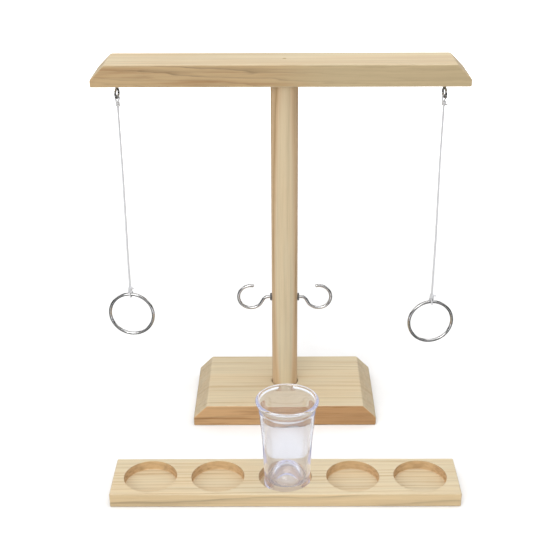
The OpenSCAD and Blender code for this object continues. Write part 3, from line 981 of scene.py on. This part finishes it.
def board_lengths(length, bevel):
    """Places of the cross lines along a board, one at each start of a slanted end."""
    inner = length - 2 * bevel
    count = round(inner / BOARD_STEP)
    places = {bevel + inner * i / count for i in range(1, count)}
    return sorted(places | {0.0, length, bevel, length - bevel})


def board_mesh(lo, hi, bevel):
    """A sharp edged board of small faces between two corners, its ends' top corners cut off slanting."""
    length, width, thick = hi - lo
    xs = board_lengths(length, bevel)
    last, columns, rows = len(xs) - 1, round(width / BOARD_STEP), BOARD_ROWS
    bm = bmesh.new()
    points = {}

    def point(i, j, k):
        if (i, j, k) not in points:
            x = xs[i]
            top = thick - max(0.0, bevel - x, x - (length - bevel))
            points[i, j, k] = bm.verts.new((lo.x + x, lo.y + width * j / columns, lo.z + top * k / rows))
        return points[i, j, k]

    for i in range(last):
        for j in range(columns):
            for k in (0, rows):
                bm.faces.new((point(i, j, k), point(i + 1, j, k), point(i + 1, j + 1, k), point(i, j + 1, k)))
        for k in range(rows):
            for j in (0, columns):
                bm.faces.new((point(i, j, k), point(i + 1, j, k), point(i + 1, j, k + 1), point(i, j, k + 1)))
    for j in range(columns):
        for k in range(rows):
            for i in (0, last):
                bm.faces.new((point(i, j, k), point(i, j + 1, k), point(i, j + 1, k + 1), point(i, j, k + 1)))
    bmesh.ops.recalc_face_normals(bm, faces=bm.faces)
    return bm


def plank(name, lo, hi, bevel, finish, body, seed):
    """A solid board with rounded edges and the slight waves of hand sanding."""
    bm = board_mesh(lo, hi, bevel)
    sharp = [e for e in bm.edges if e.calc_face_angle(0) > radians(25)]
    bmesh.ops.bevel(bm, geom=sharp, offset=EDGE_R, offset_type="OFFSET", segments=4, profile=0.5,
                    affect="EDGES", clamp_overlap=True)
    bm.normal_update()
    for v in bm.verts:
        wave = noise.noise(Vector((v.co.x * 45, v.co.y * 90, v.co.z * 90 + seed)))
        v.co -= v.normal * SANDING * abs(wave)
    mesh = bpy.data.meshes.new(name)
    bm.to_mesh(mesh)
    bm.free()
    return piece(name, mesh, finish, body)


def eased_mouth(r, top, ease, steps):
    """Profile of a hole's rim, rounded outward by ease up to top, and the cutter's way out above it."""
    rim = []
    for i in range(steps + 1):
        t = radians(90 * i / steps)
        rim.append((r + ease * (1 - cos(t)), top - ease + ease * sin(t)))
    return rim + [(r + ease, top + 2 * MM), (0, top + 2 * MM)]


def drill(x, y, z0, z1, r, segments=48):
    """Cutter for a round hole along Z from z0 to z1."""
    return tool(*lathe([(0, z0), (r, z0), (r, z1), (0, z1)], segments, (x, y, 0)))


def make_crossbar():
    made = plank("crossbar_board", crossbar_lo, crossbar_hi, BEAM_BEVEL, crossbar_pine, "stand", 3.0)
    socket_top = BEAM_Z + SOCKET_DEPTH
    cutters = [drill(0, 0, BEAM_Z - 5 * MM, socket_top, POST_R + SOCKET_GAP),
               drill(0, 0, socket_top - MM, crossbar_hi.z + MM, NAIL_HEAD_R + 0.02 * MM)]
    for side in SIDES:
        bore_top = BEAM_Z + EYE_THREAD_L + 0.5 * MM
        cutters.append(drill(string_x[side], 0, BEAM_Z - MM, bore_top, EYE_WIRE / 2 + 0.08 * MM, 24))
    carve(made, cutters)
    crisp(made)
    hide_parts("crossbar")


def make_base():
    made = plank("base_board", base_lo, base_hi, BASE_BEVEL, base_pine, "stand", 11.0)
    screw_lo, screw_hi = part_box("base_screw")
    head_r = (screw_hi.x - screw_lo.x) / 2 + 0.1 * MM
    shank_r = 2.1 * MM
    sink = [(0, -MM), (head_r, -MM), (head_r, screw_lo.z), (shank_r, screw_lo.z + 2.5 * MM),
            (shank_r, 15 * MM), (0, 15 * MM)]
    socket_z, socket_r = base_hi.z - SOCKET_DEPTH, POST_R + SOCKET_GAP
    socket = [(0, socket_z), (socket_r, socket_z)] + eased_mouth(socket_r, base_hi.z, SOCKET_EASE, 5)
    carve(made, [tool(*lathe(socket, 72)), tool(*lathe(sink, 40))])
    crisp(made)
    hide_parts("base")


def make_tray():
    made = plank("tray_board", tray_lo, tray_hi, 0.0, tray_pine, "tray", 23.0)
    floor, foot_r = tray_hi.z - POCKET_DEPTH, 0.8 * MM
    foot = arc(POCKET_R - foot_r, floor + foot_r, foot_r, -90, 0, 6)
    profile = [(0, floor)] + foot + eased_mouth(POCKET_R, tray_hi.z, POCKET_EASE, 6)
    cutters = []
    for i in range(POCKET_COUNT):
        x = tray_middle.x + (i - (POCKET_COUNT - 1) / 2) * POCKET_PITCH
        cutters.append(tool(*lathe(profile, 96, (x, tray_middle.y, 0))))
    carve(made, cutters)
    crisp(made)
    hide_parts("tray")


def hook_bore(sign):
    """Cutter for the bore that a hook is screwed into, on one side of the post."""
    r, length = HOOK_WIRE / 2 + 0.06 * MM, 11 * MM
    bore, faces = lathe([(0, 0), (r, 0), (r, length), (0, length)], 28)
    points = [(sign * (POST_R + MM - z), sign * y, HOOK_Z + x) for x, y, z in bore]
    return tool(points, [f[::-1] for f in faces])


def make_post():
    """The dowel, with the slight flats and chatter that turning leaves, and eased ends."""
    foot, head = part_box("post")[0].z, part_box("post")[1].z
    ease = 0.8 * MM
    levels = [foot + (head - foot) * i / 100 for i in range(1, 100)]
    profile = [(0, foot), (POST_R - ease, foot), (POST_R, foot + ease)]
    profile += [(POST_R, z) for z in levels] + [(POST_R, head - ease), (POST_R - ease, head), (0, head)]

    def shape(a, r, z):
        rough = noise.noise(Vector((cos(a) * 1.6, sin(a) * 1.6, z * 22)))
        return r - TURNING * abs(rough) if r > POST_R - 1e-6 else r

    verts, faces = lathe(profile, 80, shape=shape)
    made = new_object("dowel", verts, faces, post_pine, "stand")
    clean(made)
    carve(made, [hook_bore(sign) for sign in (-1, 1)])
    clean(made)
    crisp(made)
    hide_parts("post")


def make_filler():
    """The plug of wood filler over the nail, a little uneven and sunk by a hair."""
    lo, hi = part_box("nail_filler")

    def shape(a, r, z):
        return r * (1 + 0.04 * noise.noise(Vector((cos(a) * 2, sin(a) * 2, 7))))

    profile = [(0, lo.z), (NAIL_HEAD_R, lo.z)]
    for part, sunk_mm in ((1, 0.25), (0.93, 0.1), (0.6, 0.13), (0.3, 0.16), (0, 0.15)):
        profile.append((NAIL_HEAD_R * part, hi.z - sunk_mm * MM))
    verts, faces = lathe(profile, 36, shape=shape)
    made = new_object("filler_plug", verts, faces, filler, "stand")
    clean(made)
    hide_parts("nail_filler")


make_crossbar()
make_post()
make_base()
make_tray()
make_filler()
for node in ("base_screw", "crossbar_nail"):
    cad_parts[node].data.materials.clear()
    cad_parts[node].data.materials.append(hidden_metal)


# ---- shot glass
DOME_R = 12.8
DOME_Z = 20.5
DOME_FOOT = 9
GLASS_WALL = 2


def flow(points, count):
    """Smooth outline through (radius, height) points, in about count steps."""
    line = np.array([(x, 0, z) for x, z in points])
    return [(x, z) for x, _, z in smooth(line, lengths_along(line)[-1] / count)]


def dome_arc(r, foot, top, angles):
    """Quarter of an oval over the glass's axis, in millimetres, at the given angles above level."""
    return [(r * cos(radians(a)), foot + (top - foot) * sin(radians(a))) for a in angles]


def make_glass():
    """Footed and flared, with a rolled lip and a bottom pushed up to a dome that is hollow below."""
    outer = arc(17.1, 1.2, 1.2, -80, 0, 8)
    outer += [(18.32, 2.6), (18.3, 4.4), (18.05, 5.6), (17.75, 6.6), (17.72, 7.4), (17.9, 9.0), (18.25, 13),
              (18.55, 18), (18.9, 27), (19.3, 37), (19.9, 46), (20.6, 54), (21.4, 62), (22.2, 70),
              (22.7, 73), (23.2, 75)]
    lip = arc(23, 77.5, 1.5, -55, 205, 26)
    inner = [(21.35, 75.6), (21.0, 73.4), (20.3, 70), (19.5, 62), (18.8, 54), (18.1, 46), (17.5, 37),
             (16.9, 30), (16.4, 24), (16.1, 18), (15.9, 14), (15.55, 10.6)]
    inner += arc(14.5, 9.5, 1.0, 0, -110, 6)
    inner += dome_arc(DOME_R, DOME_FOOT, DOME_Z, range(10, 90, 6)) + [(0, DOME_Z)]
    hollow_r, hollow_z = DOME_R - GLASS_WALL, DOME_Z - GLASS_WALL
    under = [(0, hollow_z)] + dome_arc(hollow_r, DOME_FOOT - GLASS_WALL, hollow_z, range(84, -1, -6))
    under += [(11.0, 4), (11.2, 2), (11.8, 0.4), (12.8, 0.0), (16.9, 0.0)]

    profile = mm(under) + flow(mm(outer), 60) + mm(lip) + flow(mm(inner), 90)
    profile[-1] = (0, profile[-1][1])
    centre = ((glass_lo.x + glass_hi.x) / 2, (glass_lo.y + glass_hi.y) / 2, glass_lo.z)
    verts, faces = lathe(profile, 128, centre)
    made = new_object("shot_glass", verts, faces, glass_clear, "glass")
    clean(made)
    made.visible_shadow = False
    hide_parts("glass")


make_glass()


# ---- floor, studio and lights
FLOOR_HALF = 6.0
PAPER = ((0.3, (243, 243, 243)), (0.7, (246, 246, 246)))
PAPER_TO_WOOD = (0.7, 0.7, 0.7, 1)
WHITE = (1, 1, 1, 1)
LAVENDER = (0.86, 0.82, 1.0, 1)


def make_floor():
    """White paper that fades into the white behind it. Metal sees it bright in front of and behind the
    game and dark farther off, and the wood sees it a little darker."""
    made, tree, shader = material("floor_paper", roughness=0.85, specular_ior_level=0.1)
    place = add(tree, "TexCoord").outputs["Object"]
    ray = add(tree, "LightPath").outputs
    x, y, _ = add(tree, "SeparateXYZ", {0: place}).outputs
    away = add(tree, "VectorMath", {0: place}, operation="LENGTH").outputs["Value"]
    paper = mix(tree, ray["Is Diffuse Ray"], ramp(tree, noise_of(tree, place, 30.0, 3.0), PAPER, "EASE"),
                PAPER_TO_WOOD)
    ahead = calc(tree, "ADD", spread(tree, y, -0.1, -0.22, 0.08, 0.75), spread(tree, y, 0.2, 0.3, 0.0, 0.35))
    ahead = times(tree, ahead, spread(tree, away, 0.5, 0.36, 0.05, 1.0))
    veil = times(tree, ahead, spread(tree, calc(tree, "ABSOLUTE", x), 0.13, 0.07))
    mirrored = calc(tree, "SUBTRACT", ray["Is Glossy Ray"], ray["Is Transmission Ray"], clamp=True)
    tree.links.new(mix(tree, mirrored, paper, grey(tree, ahead)), shader.inputs["Base Color"])
    # painted reflection: in front of the game the paper glows lavender for what metal and glass mirror; for
    # the camera and through glass it glows more with distance from the game
    tree.links.new(mix(tree, mirrored, WHITE, LAVENDER), shader.inputs["Emission Color"])
    seen = calc(tree, "MAXIMUM", ray["Is Camera Ray"], ray["Is Transmission Ray"])
    glow = times(tree, spread(tree, away, 0.2, 1.2), seen)
    glow = scale_add(tree, times(tree, mirrored, veil), 0.7, glow)
    tree.links.new(glow, shader.inputs["Emission Strength"])
    corners = [(sx * FLOOR_HALF, sy * FLOOR_HALF, 0) for sx, sy in ((-1, -1), (1, -1), (1, 1), (-1, 1))]
    mesh = new_mesh("floor", corners, [(0, 1, 2, 3)])
    mesh.materials.append(made)
    linked("floor", mesh)


def make_world():
    """A studio that is white where the camera looks and dim all round. Metal sees a dark horizon with a
    bright panel above it, brightest in front and behind, and glass sees a lavender sky."""
    world = bpy.data.worlds.new("studio")
    world.use_nodes = True
    scene.world = world
    tree = world.node_tree
    direction = add(tree, "TexCoord").outputs["Generated"]
    _, y, z = add(tree, "SeparateXYZ", {0: direction}).outputs
    ray = add(tree, "LightPath").outputs
    soft = scale_add(tree, spread(tree, z, 0.0, 0.7), 0.22, 0.4)
    back = spread(tree, y, 0.4, 0.8)
    level = scale_add(tree, back, 0.22, z)
    panel = times(tree, spread(tree, level, 0.16, 0.34), spread(tree, level, 0.75, 0.55))
    round_about = scale_add(tree, spread(tree, y, -0.35, -0.8), 0.85, 0.12)
    round_about = scale_add(tree, back, 0.8, round_about)
    mirror = scale_add(tree, panel, round_about, 0.04)
    through = spread(tree, z, 0.3, 0.8, 0.85, 0.3)
    lavender = add(tree, "CombineColor", {0: through, 1: through, 2: times(tree, through, 1.22)}).outputs[0]
    colour = mix(tree, ray["Is Glossy Ray"], grey(tree, soft), grey(tree, mirror))
    colour = mix(tree, ray["Is Transmission Ray"], colour, lavender)
    colour = mix(tree, ray["Is Camera Ray"], colour, WHITE)
    background = tree.nodes["Background"]
    tree.links.new(colour, background.inputs["Color"])
    background.inputs["Strength"].default_value = 1.0


def lamp(name, at, target, size, power):
    data = bpy.data.lights.new(name, "AREA")
    data.shape = "RECTANGLE"
    data.size, data.size_y = size
    data.energy = power
    made = linked(name, data)
    made.location = at
    made.rotation_euler = (Vector(target) - Vector(at)).to_track_quat("-Z", "Y").to_euler()


make_floor()
make_world()
lamp("overhead_softbox", (0.1, -0.3, 2.2), (0, 0, 0.1), (2.4, 1.8), 30)
lamp("front_fill", (-0.7, -1.9, 1.0), (0, 0, 0.15), (1.2, 0.9), 16.5)
for side, x in zip(SIDES, (-1.7, 1.7)):
    lamp(side + "_back_fill", (x, 0.9, 0.9), (0, 0, 0.15), (1.0, 1.0), 5)
scene.view_settings.view_transform = "Standard"
